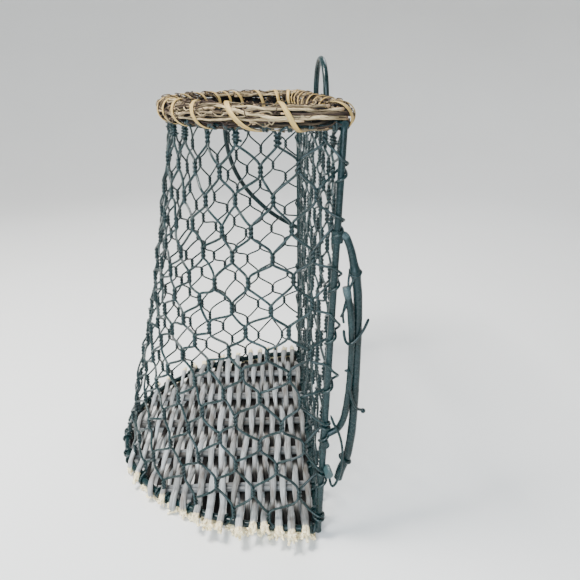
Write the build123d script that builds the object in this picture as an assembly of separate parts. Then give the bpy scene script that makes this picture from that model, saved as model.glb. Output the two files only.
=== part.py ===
from build123d import *

import os
from math import atan2, ceil, cos, degrees, pi, radians, sin, sqrt, tan

# Fruit picker basket: a welded wire frame with a flat back and a bowed front, covered with
# hexagonal wire netting, on a woven willow base, with a bundle of vine twigs lashed to its rim.
#
# Millimetres, +Z up. The flat back faces +Y and the bowed front faces -Y. The model is built with
# the middle of the back at X = 0, Y = 0, and is moved at the end so that the origin is the
# middle of the footprint, on the plane that the basket stands on.

# ---------------------------------------------------------------- driving dimensions
WIDTH = 230.0                 # between the centres of the two side rods
HEIGHT = 250.0                # from the base ring to the middle of the twig rim
HALF = WIDTH / 2

FRAME_WIRE = 2.0              # radius of the frame wires
NET_THICKNESS = 1.2           # the netting is one thin sheet here
CLEARANCE = 0.03              # kept between pieces that only touch

STAKE_COUNT = 5               # sticks that run from back to front
STAKE_RADIUS = 2.0
WEAVER_COUNT = 34             # sticks that are woven through them, from side to side
WEAVER_RADIUS = 1.9
WEAVER_PITCH = 4.0
WEAVE_RISE = STAKE_RADIUS + WEAVER_RADIUS + CLEARANCE    # a weaver's height over a stake
CROSSING_ROOM = 30.0          # a weaver changes sides only in a gap at least this wide
MAT_Z = WEAVE_RISE + WEAVER_RADIUS                       # mid-plane of the base and its ring

RIM_Z = MAT_Z + HEIGHT
RIM_WIRE_Z = RIM_Z - 4.0      # the rim wires lie in the lower half of the twig bundle
RIM_RADIUS = 7.5              # of the twig bundle
RIM_CORNER = 12.0             # bend of the bundle at the two back corners
BASE_TURN = 3.3               # degrees that the base is twisted about the far rod's foot

# The bowed outlines: depth, radius of the two side arcs, length of the straight ends.
RIM_BOW = (106.0, 54.0, 21.0)
NET_TOP_BOW = (103.0, 54.0, 21.0)
NET_MIDDLE_BOW = (115.0, 95.0, 12.0)
BASE_BOW = (140.0, 156.0, 4.0)

NET_BOTTOM_Z = MAT_Z + WEAVE_RISE + WEAVER_RADIUS + 0.4
NET_TOP_Z = RIM_Z - RIM_RADIUS - 1.0
NET_MIDDLE_Z = MAT_Z + HEIGHT / 2

LOOP_HALF = 25.0              # half the width of the hanging loop
LOOP_Y = 2 * FRAME_WIRE       # the loop stands against the outside of the rim's back wire
LOOP_LEG_BOTTOM = RIM_WIRE_Z - 12.0
LOOP_ARCH_Z = RIM_Z + 7.0

CANE_WIDTH = 3.2
CANE_THICKNESS = 0.7
CANE_SLANT = 28.0             # degrees that each turn of cane leans from square

HANDLE_RADIUS = 2.75
BRANCH_RADIUS = 1.75
TENDRIL_RADIUS = 0.8
BEND_REACH = 0.45             # share of the shorter run that each bend takes up


# ---------------------------------------------------------------- outlines
def bow_numbers(half, depth, side_radius, straight):
    """Radius of the front arc, its centre's Y, and the angle where the side arc meets it."""
    rise = depth - straight
    reach = half - side_radius
    front_radius = (reach**2 + rise**2 - side_radius**2) / (2 * (rise - side_radius))
    front_y = front_radius - depth
    scale = front_radius / (front_radius - side_radius)
    touch_x = reach * scale
    touch_y = front_y + (-straight - front_y) * scale
    turn = degrees(atan2(touch_y + straight, touch_x - reach))
    return front_radius, front_y, turn


def bow_edges(half, bow, overrun=0.0):
    """Straight end, side arc, front arc, side arc, straight end, all tangent, from +X to -X."""
    depth, side_radius, straight = bow
    front_radius, front_y, turn = bow_numbers(half, *bow)
    reach = half - side_radius
    return [
        Line((half, overrun), (half, -straight)),
        CenterArc((reach, -straight), side_radius, 0, turn),
        CenterArc((0, front_y), front_radius, turn, -180 - 2 * turn),
        CenterArc((-reach, -straight), side_radius, -180 - turn, turn),
        Line((-half, -straight), (-half, overrun)),
    ]


def bow_half_width(y, half, bow):
    """Half the width of a bowed outline at a given Y."""
    depth, side_radius, straight = bow
    front_radius, front_y, turn = bow_numbers(half, *bow)
    if y > -straight:
        return half
    if y > -straight + side_radius * sin(radians(turn)):
        return half - side_radius + sqrt(side_radius**2 - (y + straight) ** 2)
    return sqrt(front_radius**2 - (y - front_y) ** 2)


def bow_front(x, half, bow):
    """Y of a bowed outline at a given X, on its front."""
    low, high = -bow[0], 0.0
    while high - low > 0.001:
        middle = (low + high) / 2
        if bow_half_width(middle, half, bow) > abs(x):
            high = middle
        else:
            low = middle
    return low


def level(z, share=1.0):
    """Place of a level of the basket: twisted about the far rod by a share of the full turn."""
    return Pos(-HALF, 0, z) * Rot(0, 0, -BASE_TURN * share) * Pos(HALF, 0, 0)


def twist_share(z):
    return (RIM_WIRE_Z - z) / (RIM_WIRE_Z - MAT_Z)


def corner(x, z):
    """The centre of a side rod at height z."""
    foot = (level(MAT_Z) * Pos(x, 0, 0)).position
    head = Vector(x, 0, RIM_WIRE_Z)
    return foot + (head - foot) * (1 - twist_share(z))


def bent_path(points):
    """Straight runs joined by tangent arcs, through or near the given points."""
    points = [Vector(*point) for point in points]
    edges = []
    cursor = points[0]
    for before, bend, after in zip(points, points[1:], points[2:]):
        into = (bend - before).normalized()
        out = (after - bend).normalized()
        setback = BEND_REACH * min((bend - before).length, (after - bend).length)
        half_turn = radians(into.get_angle(out)) / 2
        radius = setback / tan(half_turn)
        middle = bend + (out - into).normalized() * radius * (1 / cos(half_turn) - 1)
        entry = bend - into * setback
        leave = bend + out * setback
        edges.append(Line(cursor, entry))
        edges.append(ThreePointArc(entry, middle, leave))
        cursor = leave
    edges.append(Line(cursor, points[-1]))
    return Wire(edges)


def tube(path, radius):
    section = Plane(origin=path @ 0, z_dir=path % 0) * Circle(radius)
    return sweep(section, path=path).solid()


def rod(start, end, radius):
    return tube(straight_path(start, end), radius)


def fitted(piece, *others):
    """The piece with the space of its neighbours cut out of it, without stray chips."""
    for other in others:
        piece = piece - other
    return max(piece.solids(), key=lambda solid: solid.volume)


# ---------------------------------------------------------------- wire frame
def straight_path(start, end):
    return Wire([Line(start, end)])


def frame_paths():
    """Centrelines of the frame wires, in the order in which they are fitted to each other."""
    reach = HALF + FRAME_WIRE
    return {
        "base_back_wire": straight_path(corner(reach, MAT_Z), corner(-reach, MAT_Z)),
        "rim_back_wire": straight_path(corner(reach, RIM_WIRE_Z), corner(-reach, RIM_WIRE_Z)),
        "base_bow_wire": level(MAT_Z) * Wire(bow_edges(HALF, BASE_BOW)),
        "rim_bow_wire": level(RIM_WIRE_Z, 0) * Wire(bow_edges(HALF, NET_TOP_BOW)),
        "side_rod_near": straight_path(corner(HALF, MAT_Z), corner(HALF, RIM_WIRE_Z)),
        "side_rod_far": straight_path(corner(-HALF, MAT_Z), corner(-HALF, RIM_WIRE_Z)),
        "hanging_loop": hanging_loop_path(),
        "arc_brace": arc_brace_path(),
    }


def hanging_loop_path():
    top = LOOP_ARCH_Z + LOOP_HALF
    return Wire([
        Line((LOOP_HALF, LOOP_Y, LOOP_LEG_BOTTOM), (LOOP_HALF, LOOP_Y, LOOP_ARCH_Z)),
        ThreePointArc((LOOP_HALF, LOOP_Y, LOOP_ARCH_Z), (0, LOOP_Y, top), (-LOOP_HALF, LOOP_Y, LOOP_ARCH_Z)),
        Line((-LOOP_HALF, LOOP_Y, LOOP_ARCH_Z), (-LOOP_HALF, LOOP_Y, LOOP_LEG_BOTTOM)),
    ])


def arc_brace_path():
    """A wire that curves down outside the netting, from the rim to the far rod."""
    return bent_path([
        (-96.5, -67, RIM_WIRE_Z + 1),
        (-101, -66, MAT_Z + 212),
        (-107.5, -60, MAT_Z + 188),
        (-115, -48, MAT_Z + 166),
        (-119, -25, MAT_Z + 142),
        (-118.5, 0, MAT_Z + 128),
    ])


def make_frame(paths):
    """The frame wires, each ending where it meets one that was fitted before it."""
    frame = {}
    for name, path in paths.items():
        frame[name] = fitted(tube(path, FRAME_WIRE), *frame.values())
    return frame


# ---------------------------------------------------------------- netting
def net_level(bow, z, grow, overrun):
    depth, side_radius, straight = bow
    edges = bow_edges(HALF + grow, (depth + grow, side_radius + grow, straight), overrun)
    edges.append(Line((-HALF - grow, overrun), (HALF + grow, overrun)))
    return level(z, twist_share(z)) * Face(Wire(edges))


def make_netting_front(*neighbours):
    levels = (
        (BASE_BOW, NET_BOTTOM_Z),
        (NET_MIDDLE_BOW, NET_MIDDLE_Z),
        (NET_TOP_BOW, NET_TOP_Z),
    )
    skin = NET_THICKNESS / 2
    outside = loft([net_level(bow, z, skin, 0) for bow, z in levels])
    inside = loft([net_level(bow, z, -skin, FRAME_WIRE) for bow, z in levels])
    return fitted(outside - inside, *neighbours)


def make_netting_back(*neighbours):
    strips = []
    for z in (NET_BOTTOM_Z, NET_TOP_Z):
        strips.append(level(z, twist_share(z)) * Rectangle(WIDTH, NET_THICKNESS).face())
    return fitted(loft(strips), *neighbours)


# ---------------------------------------------------------------- woven base
def stake_x(number):
    """Place of a stake; number 0 and STAKE_COUNT + 1 are the ring itself."""
    return -HALF + WIDTH * number / (STAKE_COUNT + 1)


def make_stakes(frame):
    stakes = {}
    for number in range(1, STAKE_COUNT + 1):
        x = stake_x(number)
        front = bow_front(x, HALF, BASE_BOW)
        stake = level(MAT_Z) * rod((x, 0, 0), (x, front, 0), STAKE_RADIUS)
        stakes[f"base_stake_{number}"] = fitted(stake, frame["base_back_wire"], frame["base_bow_wire"])
    return stakes


def weaver_overhang(row, side):
    """How far a weaver's cut end stands out past the ring; no two rows are alike."""
    return 10.0 + 3.0 * sin(2.4 * row + 1.3 * side)


def weaver_crossings(row):
    """Where a weaver passes the ring and the stakes, with +1 for over and -1 for under."""
    y = -WEAVER_PITCH * (row + 1)
    edge = bow_half_width(y, HALF, BASE_BOW)
    crossings = []
    for number in range(1, STAKE_COUNT + 1):
        x = stake_x(number)
        if abs(x) < edge:
            crossings.append((x, 1 if (number + row) % 2 else -1))
    for end, x in ((0, -edge), (len(crossings) + 1, edge)):
        neighbour_x, neighbour_side = crossings[0] if end == 0 else crossings[-1]
        changes = abs(x - neighbour_x) > CROSSING_ROOM
        crossings.insert(end, (x, -neighbour_side if changes else neighbour_side))
    return y, crossings


def weaver_path(row):
    """Flat over each crossing, with an S of two equal arcs where the weaver changes sides."""
    y, crossings = weaver_crossings(row)
    start_x, start_side = crossings[0]
    end_x, end_side = crossings[-1]
    cursor = Vector(start_x - weaver_overhang(row, -1), y, start_side * WEAVE_RISE)
    edges = []
    for (x, side), (next_x, next_side) in zip(crossings, crossings[1:]):
        if side == next_side:
            continue
        here = Vector(x, y, side * WEAVE_RISE)
        there = Vector(next_x, y, next_side * WEAVE_RISE)
        middle = (here + there) * 0.5
        if (here - cursor).length > CLEARANCE:
            edges.append(Line(cursor, here))
        edges.append(TangentArc(here, middle, tangent=(1, 0, 0)))
        edges.append(TangentArc(middle, there, tangent=edges[-1] % 1))
        cursor = there
    edges.append(Line(cursor, (end_x + weaver_overhang(row, 1), y, end_side * WEAVE_RISE)))
    return Wire(edges)


def make_weavers():
    weavers = {}
    for row in range(WEAVER_COUNT):
        weavers[f"weaver_{row + 1:02d}"] = level(MAT_Z) * tube(weaver_path(row), WEAVER_RADIUS)
    return weavers


# ---------------------------------------------------------------- twig rim
def rim_path():
    """The closed outline of the twig bundle, with rounded back corners."""
    edges = bow_edges(HALF, RIM_BOW, -RIM_CORNER)
    inner = HALF - RIM_CORNER
    edges.append(CenterArc((-inner, -RIM_CORNER), RIM_CORNER, 180, -90))
    edges.append(Line((-inner, 0), (inner, 0)))
    edges.append(CenterArc((inner, -RIM_CORNER), RIM_CORNER, 90, -90))
    return Pos(0, 0, RIM_Z) * Wire(edges)


RIM_WIRES = (
    "rim_back_wire", "rim_bow_wire", "side_rod_near", "side_rod_far", "hanging_loop", "arc_brace"
)


def cane_places():
    """Where the turns of cane go round the bundle, as shares of the bundle's length."""
    return [0.03, 0.10, 0.17, 0.24, 0.29, 0.32, 0.35, 0.38, 0.44, 0.50, 0.56, 0.62, 0.74, 0.82, 0.90]


def make_rim(paths):
    """The bundle, with channels for the wires that run through it, and the cane round it."""
    channels = [tube(paths[name], FRAME_WIRE + CLEARANCE) for name in RIM_WIRES]
    path = rim_path()
    bundle = tube(path, RIM_RADIUS)
    sleeve = tube(path, RIM_RADIUS + CANE_THICKNESS) - bundle
    turns = []
    for share in cane_places():
        slab = Box(4 * RIM_RADIUS, 4 * RIM_RADIUS, CANE_WIDTH)
        square = Location(Plane(origin=path @ share, z_dir=path % share, x_dir=(0, 0, 1)))
        turns.append(fitted(sleeve & (square * Rot(CANE_SLANT, 0, 0) * slab), *channels))
    return fitted(bundle, *channels), Compound(turns)


# ---------------------------------------------------------------- vine-like handle
def beside_near_rod(out, height, forward=0.0):
    """A point behind the near rod: out to the back, up from the base, forward to the side."""
    centre = corner(HALF, MAT_Z + height)
    return (centre.X + forward, centre.Y + out, centre.Z)


def handle_wire(radius, *points):
    return tube(bent_path([beside_near_rod(*point) for point in points]), radius)


def make_handle(near_rod):
    main = handle_wire(
        HANDLE_RADIUS, (0, 185), (8, 182), (12, 163), (16, 134), (17.5, 98), (17, 58), (12.5, 44), (10.5, 33)
    )
    branch = handle_wire(
        BRANCH_RADIUS, (8, 149, 2.5), (11, 134, 2.5), (12.3, 108, 1), (12, 82), (7.5, 66), (0, 64.5)
    )
    upper = handle_wire(
        TENDRIL_RADIUS, (21.5, 136, 1), (17, 130, 4), (12, 125, 4.2), (6, 124, 3.4), (3.2, 129), (3, 140)
    )
    lower = handle_wire(
        TENDRIL_RADIUS, (9.5, 106, 4), (12.3, 100, 4), (13, 90, 4.5), (17, 81, 4.2), (21.5, 78.5, 1)
    )
    tip = Pos(*beside_near_rod(22.0, 78.3, 1)) * Sphere(1.6)
    twist = handle_wire(
        TENDRIL_RADIUS, (4, 74, 2.5), (8, 67, 4), (11, 56, 5.6), (11.5, 46, 5.6), (8, 37, 3), (6.5, 31, 0)
    )
    collar = Pos(*beside_near_rod(0, 185)) * Cylinder(FRAME_WIRE + 1.3, 7)
    ring = Torus(HANDLE_RADIUS + TENDRIL_RADIUS, TENDRIL_RADIUS)
    binding = Pos(*beside_near_rod(13.5, 47)) * Rot(-30, 0, 0) * ring
    stub = rod(beside_near_rod(2.5, 42), beside_near_rod(3.5, 41, 6.5), 2.4)
    knob = rod(beside_near_rod(0.5, 60), beside_near_rod(0.5, 60, 5), 2.2)

    handle = {"handle_collar": fitted(collar, near_rod)}
    handle["handle_main"] = fitted(main, near_rod, handle["handle_collar"])
    handle["handle_branch"] = fitted(branch, near_rod, handle["handle_main"])
    handle["handle_stub"] = fitted(stub, near_rod)
    handle["handle_knob"] = fitted(knob, near_rod, handle["handle_branch"])
    for name, wire in (
        ("handle_binding", binding),
        ("tendril_upper", upper),
        ("tendril_lower", lower + tip),
        ("tendril_foot", twist),
    ):
        handle[name] = fitted(wire, near_rod, *handle.values())
    return handle


# ---------------------------------------------------------------- the whole basket
def make_basket():
    paths = frame_paths()
    pieces = make_frame(paths)
    pieces.update(make_stakes(pieces))
    pieces.update(make_handle(pieces["side_rod_near"]))
    net_edges = [pieces["side_rod_near"], pieces["side_rod_far"], pieces["handle_collar"]]
    pieces["netting_front"] = make_netting_front(*net_edges)
    pieces["netting_back"] = make_netting_back(*net_edges)
    pieces["twig_rim"], pieces["cane_lashing"] = make_rim(paths)
    pieces.update(make_weavers())
    return pieces


def write_parts(pieces):
    box = Compound(list(pieces.values())).bounding_box()
    centre = Pos(-(box.min.X + box.max.X) / 2, -(box.min.Y + box.max.Y) / 2, -box.min.Z)
    print("moved by", tuple(round(value, 4) for value in centre.position))
    os.makedirs("parts", exist_ok=True)
    for name, piece in pieces.items():
        export_step(centre * piece, f"parts/{name}.step")


write_parts(make_basket())
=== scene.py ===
from math import atan2, cos, pi, radians, sin
from random import Random

import bpy
import numpy as np
from mathutils import Matrix, Vector


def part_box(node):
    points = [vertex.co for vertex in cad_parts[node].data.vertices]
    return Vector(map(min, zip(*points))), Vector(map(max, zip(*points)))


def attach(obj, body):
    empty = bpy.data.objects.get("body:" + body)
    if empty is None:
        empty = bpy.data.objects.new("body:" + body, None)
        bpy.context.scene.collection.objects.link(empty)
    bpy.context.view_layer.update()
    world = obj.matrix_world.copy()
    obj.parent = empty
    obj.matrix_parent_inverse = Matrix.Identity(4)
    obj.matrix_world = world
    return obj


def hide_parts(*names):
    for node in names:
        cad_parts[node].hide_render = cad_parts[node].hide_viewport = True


# Fruit picker basket: wire frame, hexagonal netting, woven willow base, twig rim lashed with
# cane, and a vine-like wire handle. Shapes are worked out in millimetres in part.py's design
# frame (middle of the back at X = 0, Y = 0) and are moved to the row frame as meshes are made.
# Random numbers come from fixed seeds, so the basket comes out the same each run.

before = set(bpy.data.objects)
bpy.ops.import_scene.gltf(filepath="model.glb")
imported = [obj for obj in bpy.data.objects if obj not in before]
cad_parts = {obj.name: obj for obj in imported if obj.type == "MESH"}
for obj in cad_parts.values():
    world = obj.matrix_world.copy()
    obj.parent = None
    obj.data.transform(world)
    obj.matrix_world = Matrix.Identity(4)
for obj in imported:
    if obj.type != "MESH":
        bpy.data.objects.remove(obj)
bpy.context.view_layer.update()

# ---- dimensions, as in part.py
WIDTH = 230.0
HEIGHT = 250.0
HALF = WIDTH / 2
FRAME_WIRE = 2.0
BASE_TURN = radians(3.3)
WEAVE_RISE = 3.93  # a weaver's height over a stake
MAT_Z = 5.83  # middle of the base and its ring, above the floor
RIM_Z = MAT_Z + HEIGHT
RIM_WIRE_Z = RIM_Z - 4.0  # the rim wires lie low in the bundle of twigs
RIM_CORNER = 12.0
NET_TOP_BOW = (103.0, 54.0, 21.0)  # depth, radius of the two side arcs, length of the straight ends
BASE_BOW = (140.0, 156.0, 4.0)
STAKE_COUNT = 5
WEAVER_COUNT = 34
WEAVER_PITCH = 4.0
CROSSING_ROOM = 30.0

# ---- dimensions of the detail
NET_WIRE = 0.8  # radius of one strand
TWIST_HALF = 3.7  # half the height of one twist
TWIST_TURNS = 1.5
RUN_BEND = 0.17  # how far a strand keeps the twist's direction, as a share of its run
ROW_TOP = 240.0  # height of the top row of twists above the base
ROW_PITCH = 15.45
ROW_COUNT = 16
FRONT_CELLS = 15
BACK_CELLS = 10
ROW_SAG = 16.0  # how far the rows hang toward the front
SAG_BOTTOM = 100.0  # the rows below this height are level
SAG_SPAN = 150.0  # height over which the sag grows and fades
NET_FLARE = 1.5  # the wall keeps the rim's outline longer than a cone would
NET_EDGE = 0.004  # a strand's ends keep this share of the wall away from its edges
WALL_STEPS = 500  # points along the wall's outlines
RIM_WRAP_SLACK = 0.75  # room between a strand and the rim wire that it is wound round
RING_WRAP_SLACK = 0.05

# Loops round a rod: turns, height that they take, bulge behind the rod. Odd rows end at the rods.
PLAIN_LOOP = (0.56, 5.5, 0.35)
TIGHT_LOOP = (1.5, 4.2, 0.1)
NEAR_LOOPS = {
    5: (0.56, 9.0, 0.9),
    7: (0.56, 15.0, 1.9),
    9: (0.56, 16.0, 3.0),
    11: TIGHT_LOOP,
    13: TIGHT_LOOP,
    15: TIGHT_LOOP,
}

WEAVER_STEP = 1.3  # between two rings of a weaver's mesh
WEAVER_SLIM = 1.45  # half the width of a weaver between two crossings
WEAVER_SWELL = 0.85  # how much wider it is on a crossing
WEAVER_THICK = 1.85  # a wide weaver lies flat: half its height at most
SIDE_SHADE = 0.36  # painted shade on a weaver's sides, and where it passes from over to under
STAKE_SHADE = 0.4  # painted shade on the stakes, which lie under the weavers
STAKE_STICK = 1.75  # radius of each of the two sticks that make up a stake
STAKE_OFFSET = 2.0  # from a stake's middle line to each of its sticks
STAKE_OVERRUN = 1.5  # past the middles of the two wires
LOWEST_STICK = 2.0  # a stick's middle keeps this far above the floor
HOOK_ROOM = 0.1  # a hooked end keeps this far above the floor
HOOK_ROW = 19  # from this row on, near ends that lie over the ring hook round it
HOOK_RADIUS = 3.9
FAN_ROW = 18  # from this row on the near ends spread apart and weavers get thinner
FAN_SLOPE = -0.16
FAN_THINNING = 0.02

RIM_BOW = NET_TOP_BOW  # the twigs' middle line: 3 mm further in than part.py's bundle
RIM_STEPS = 720  # points along that line
BUNDLE_RADIUS = 6.6  # where the outermost twigs lie
TWIG_STEP = 2.6  # between two rings of a twig's mesh
INNER_TWIGS = 18
OUTER_TWIGS = 165
CURLY_BITS = 420
CURLS_ON_TOP = 0.35  # share of the curly bits
# Thick pale strips: start along the rim, length, angle round it, radius, paleness, drift in 100 mm
TAN_STRIPS = (
    (2, 78, 1.9, 1.15, 0.95, -1.7),
    (4, 60, 1.05, 0.85, 0.8, -0.9),
    (22, 92, 1.62, 0.7, 0.7, 0.5),
    (70, 84, 1.15, 0.7, 0.75, 0.9),
    (88, 110, 0.6, 0.8, 0.7, -0.6),
    (240, 90, -0.45, 0.95, 0.8, -0.6),
    (285, 80, -0.95, 0.9, 0.6, 0.4),
    (300, 76, 0.1, 0.8, 0.75, -0.5),
    (400, 130, 0.6, 1.0, 0.85, 0.6),
    (455, 110, 1.6, 0.9, 0.7, -0.5),
)
# Where each turn of cane passes under the bundle and then over it, along the rim.
CANE_TURNS = (
    (-4, 4), (23, 34), (44, 66), (79, 93), (103, 115), (120, 131), (136, 147), (170, 184),
    (200, 213), (226, 238), (249, 260), (266, 275), (279, 286), (297, 310), (319, 329), (334, 341),
    (347, 353), (366, 378), (390, 402), (420, 432), (452, 463), (482, 493), (510, 522), (537, 547),
    (560, 567),
)
CANE_RADIUS = 7.7  # from the bundle's middle to the strip
CANE_WIDTH = 3.0
CANE_THICKNESS = 0.7
CANE_HALF_TURN = 22.0  # about the strip's length in half a turn

STEM_RADIUS = 2.65
SIDE_STEM_RADIUS = 1.9
TENDRIL_RADIUS = 0.85
FOOT_TENDRIL_RADIUS = 0.8
BEAD_RADIUS = 1.5
TWIST_WIRE = 0.7

COVE_RADIUS = 1.9  # metres
COVE_BEND = 0.9
COVE_HEIGHT = 2.2
SKY_COLOUR = (0.88, 0.93, 1.0, 1)
SKY_STRENGTH = 0.26
LAMP_AIM = (0, 0, 0.12)
LAMPS = (  # name, place, width, height, power, colour
    ("overhead", (0.1, -0.4, 1.0), 0.3, 0.3, 22.0, (1.0, 0.98, 0.94)),
    ("window", (0.8, -0.22, 0.44), 0.55, 0.56, 12.0, (0.72, 0.87, 1.0)),
    ("side", (0.2, -1.0, 0.8), 0.4, 0.4, 5.0, (1.0, 0.97, 0.92)),
    ("back", (-0.75, 0.55, 1.2), 0.6, 0.6, 10.0, (0.9, 0.95, 1.0)),
)

CAMERA_PLACE = (421.5, -56.6, 272.4 + MAT_Z)
CAMERA_HEADING = 84.85
CAMERA_PITCH = -12.46
CAMERA_ROLL = -0.45
CAMERA_SHIFT = -0.15
CAMERA_LENS = 36.56
SENSOR_WIDTH = 36.0

MILLIMETRE = 0.001  # in metres


def cad_offset():
    """From the design frame to the row frame, read from the upright far rod."""
    low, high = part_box("side_rod_far")
    middle = (np.array(low) + np.array(high)) / 2 / MILLIMETRE
    return np.array([middle[0] + HALF, middle[1], 0.0])


OFFSET = cad_offset()


def to_row(points):
    """Design millimetres to row metres."""
    return (np.asarray(points, float) + OFFSET) * MILLIMETRE


# ---- outlines
def bow_outline(bow):
    """Points along a bowed outline, from the near end to the far end."""
    depth, side, straight = bow
    rise = depth - straight
    reach = HALF - side
    front = (reach**2 + rise**2 - side**2) / (2 * (rise - side))
    front_y = front - depth
    scale = front / (front - side)
    touch_x = reach * scale
    touch_y = front_y + (-straight - front_y) * scale
    turn = atan2(touch_y + straight, touch_x - reach)
    steps = 160
    near = np.linspace(0, turn, steps)
    middle = np.linspace(turn, -pi - turn, 2 * steps)
    far = np.linspace(-pi - turn, -pi, steps)
    return np.concatenate([
        [(HALF, 0.0)],
        np.stack([reach + side * np.cos(near), -straight + side * np.sin(near)], 1),
        np.stack([front * np.cos(middle), front_y + front * np.sin(middle)], 1),
        np.stack([-reach + side * np.cos(far), -straight + side * np.sin(far)], 1),
        [(-HALF, 0.0)],
    ])


def lengths(points):
    """Distance of each point along its line."""
    steps = np.linalg.norm(np.diff(points, axis=0), axis=1)
    return np.concatenate([[0.0], np.cumsum(steps)])


def between(at, places, points):
    """Points of a line, at any distances, from the points at known places."""
    return np.stack([np.interp(at, places, column) for column in points.T], -1)


def resample(points, count):
    """The same line with evenly spaced points."""
    along = lengths(points)
    return between(np.linspace(0, along[-1], count), along, points)


def smooth_line(points, count):
    """A smooth curve through the given points (Catmull-Rom), evenly spaced."""
    points = np.asarray(points, float)
    padded = np.concatenate([[2 * points[0] - points[1]], points, [2 * points[-1] - points[-2]]])
    share = np.linspace(0, 1, 12, endpoint=False)[:, None]
    runs = []
    for a, b, c, d in zip(padded, padded[1:], padded[2:], padded[3:]):
        runs.append(0.5 * (2 * b + (c - a) * share + (2 * a - 5 * b + 4 * c - d) * share**2
                           + (3 * b - a - 3 * c + d) * share**3))
    runs.append(points[-1:])
    return resample(np.concatenate(runs), count)


def turned_direction(direction, share):
    """A level direction turned by a share of the base's turn."""
    angle = -BASE_TURN * np.asarray(share, float)
    x = direction[..., 0]
    y = direction[..., 1]
    return np.stack([x * np.cos(angle) - y * np.sin(angle), x * np.sin(angle) + y * np.cos(angle)], -1)


def turned(points, share):
    """Points twisted about the far rod by a share of the base's turn."""
    out = np.array(points, float)
    out[..., :2] = turned_direction(out[..., :2] + (HALF, 0), share) - (HALF, 0)
    return out


def twist_share(z):
    """How much of the base's turn a point at height z has: none at the rim, all of it at the base."""
    return np.clip((RIM_WIRE_Z - z) / (RIM_WIRE_Z - MAT_Z), 0, 1)


def unit(vectors):
    return vectors / np.linalg.norm(vectors, axis=-1, keepdims=True)


def across_wall(direction):
    """Outward direction of a wall that runs in the given direction."""
    return np.stack([-direction[..., 1], direction[..., 0], np.zeros(direction.shape[:-1])], -1)


UP = np.array([0, 0, 1.0])
TOP_OUTLINE = resample(bow_outline(NET_TOP_BOW), WALL_STEPS)
BASE_OUTLINE = resample(bow_outline(BASE_BOW), WALL_STEPS)


def outline_at(outline, t):
    """Points at shares t of an outline's length."""
    return between(t, np.linspace(0, 1, WALL_STEPS), outline)


def bowed_outline_at(t, flare):
    """Points between the top's outline and the base's."""
    return outline_at(TOP_OUTLINE, t) * (1 - flare) + outline_at(BASE_OUTLINE, t) * flare


def front_wall(t, z):
    """Point and outward direction on the bowed wall: t runs from the near rod to the far rod."""
    share = twist_share(z)
    flare = (share**NET_FLARE)[..., None]
    step = 0.004
    point = turned(np.concatenate([bowed_outline_at(t, flare), z[..., None]], -1), share)
    direction = bowed_outline_at(t + step, flare) - bowed_outline_at(t - step, flare)
    return point, across_wall(unit(turned_direction(direction, share)))


def back_wall(t, z):
    """Point and outward direction on the flat back, from the near rod to the far rod."""
    share = twist_share(z)
    flat = np.stack([HALF - WIDTH * t, np.zeros_like(t), z], -1)
    direction = turned_direction(np.stack([-np.ones_like(t), np.zeros_like(t)], -1), share)
    return turned(flat, share), -across_wall(unit(direction))


def near_rod(height):
    """Centre of the leaning near rod at a height above the base's middle."""
    foot = turned([(HALF, 0, MAT_Z)], 1.0)[0]
    head = np.array([HALF, 0, RIM_WIRE_Z])
    return foot + (head - foot) * (height / (RIM_WIRE_Z - MAT_Z))


# ---- meshes from tubes
def ripple(rng, along, wave, strength):
    """A smooth irregular wave along a line."""
    total = np.zeros(len(along))
    for _ in range(3):
        length = wave * rng.uniform(0.55, 1.7)
        total += np.sin(2 * pi * along / length + rng.uniform(0, 2 * pi))
    return total * strength / 1.8


def carried_normals(path, tangents, start):
    """A direction across the line, carried along it without turning about it."""
    normal = start - tangents[0] * np.dot(start, tangents[0])
    normals = [normal / np.linalg.norm(normal)]
    for tangent in tangents[1:]:
        normal = normals[-1] - tangent * np.dot(normals[-1], tangent)
        normals.append(normal / np.linalg.norm(normal))
    return np.array(normals)


def new_object(name, data):
    """A mesh, a lamp or a camera put in the scene."""
    thing = bpy.data.objects.new(name, data)
    bpy.context.scene.collection.objects.link(thing)
    return thing


def spread(value, shape):
    """One number, one for each point of a line, or one for each corner: given to every corner."""
    value = np.asarray(value, float)
    if value.ndim == 1:
        value = value[:, None]
    return np.broadcast_to(value, shape)


def uneven(rng, sides, most):
    """Factors that move each of a tube's corners a little in or out."""
    return 1 + np.array([rng.uniform(-most, most) for _ in range(sides)])[None]


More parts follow.
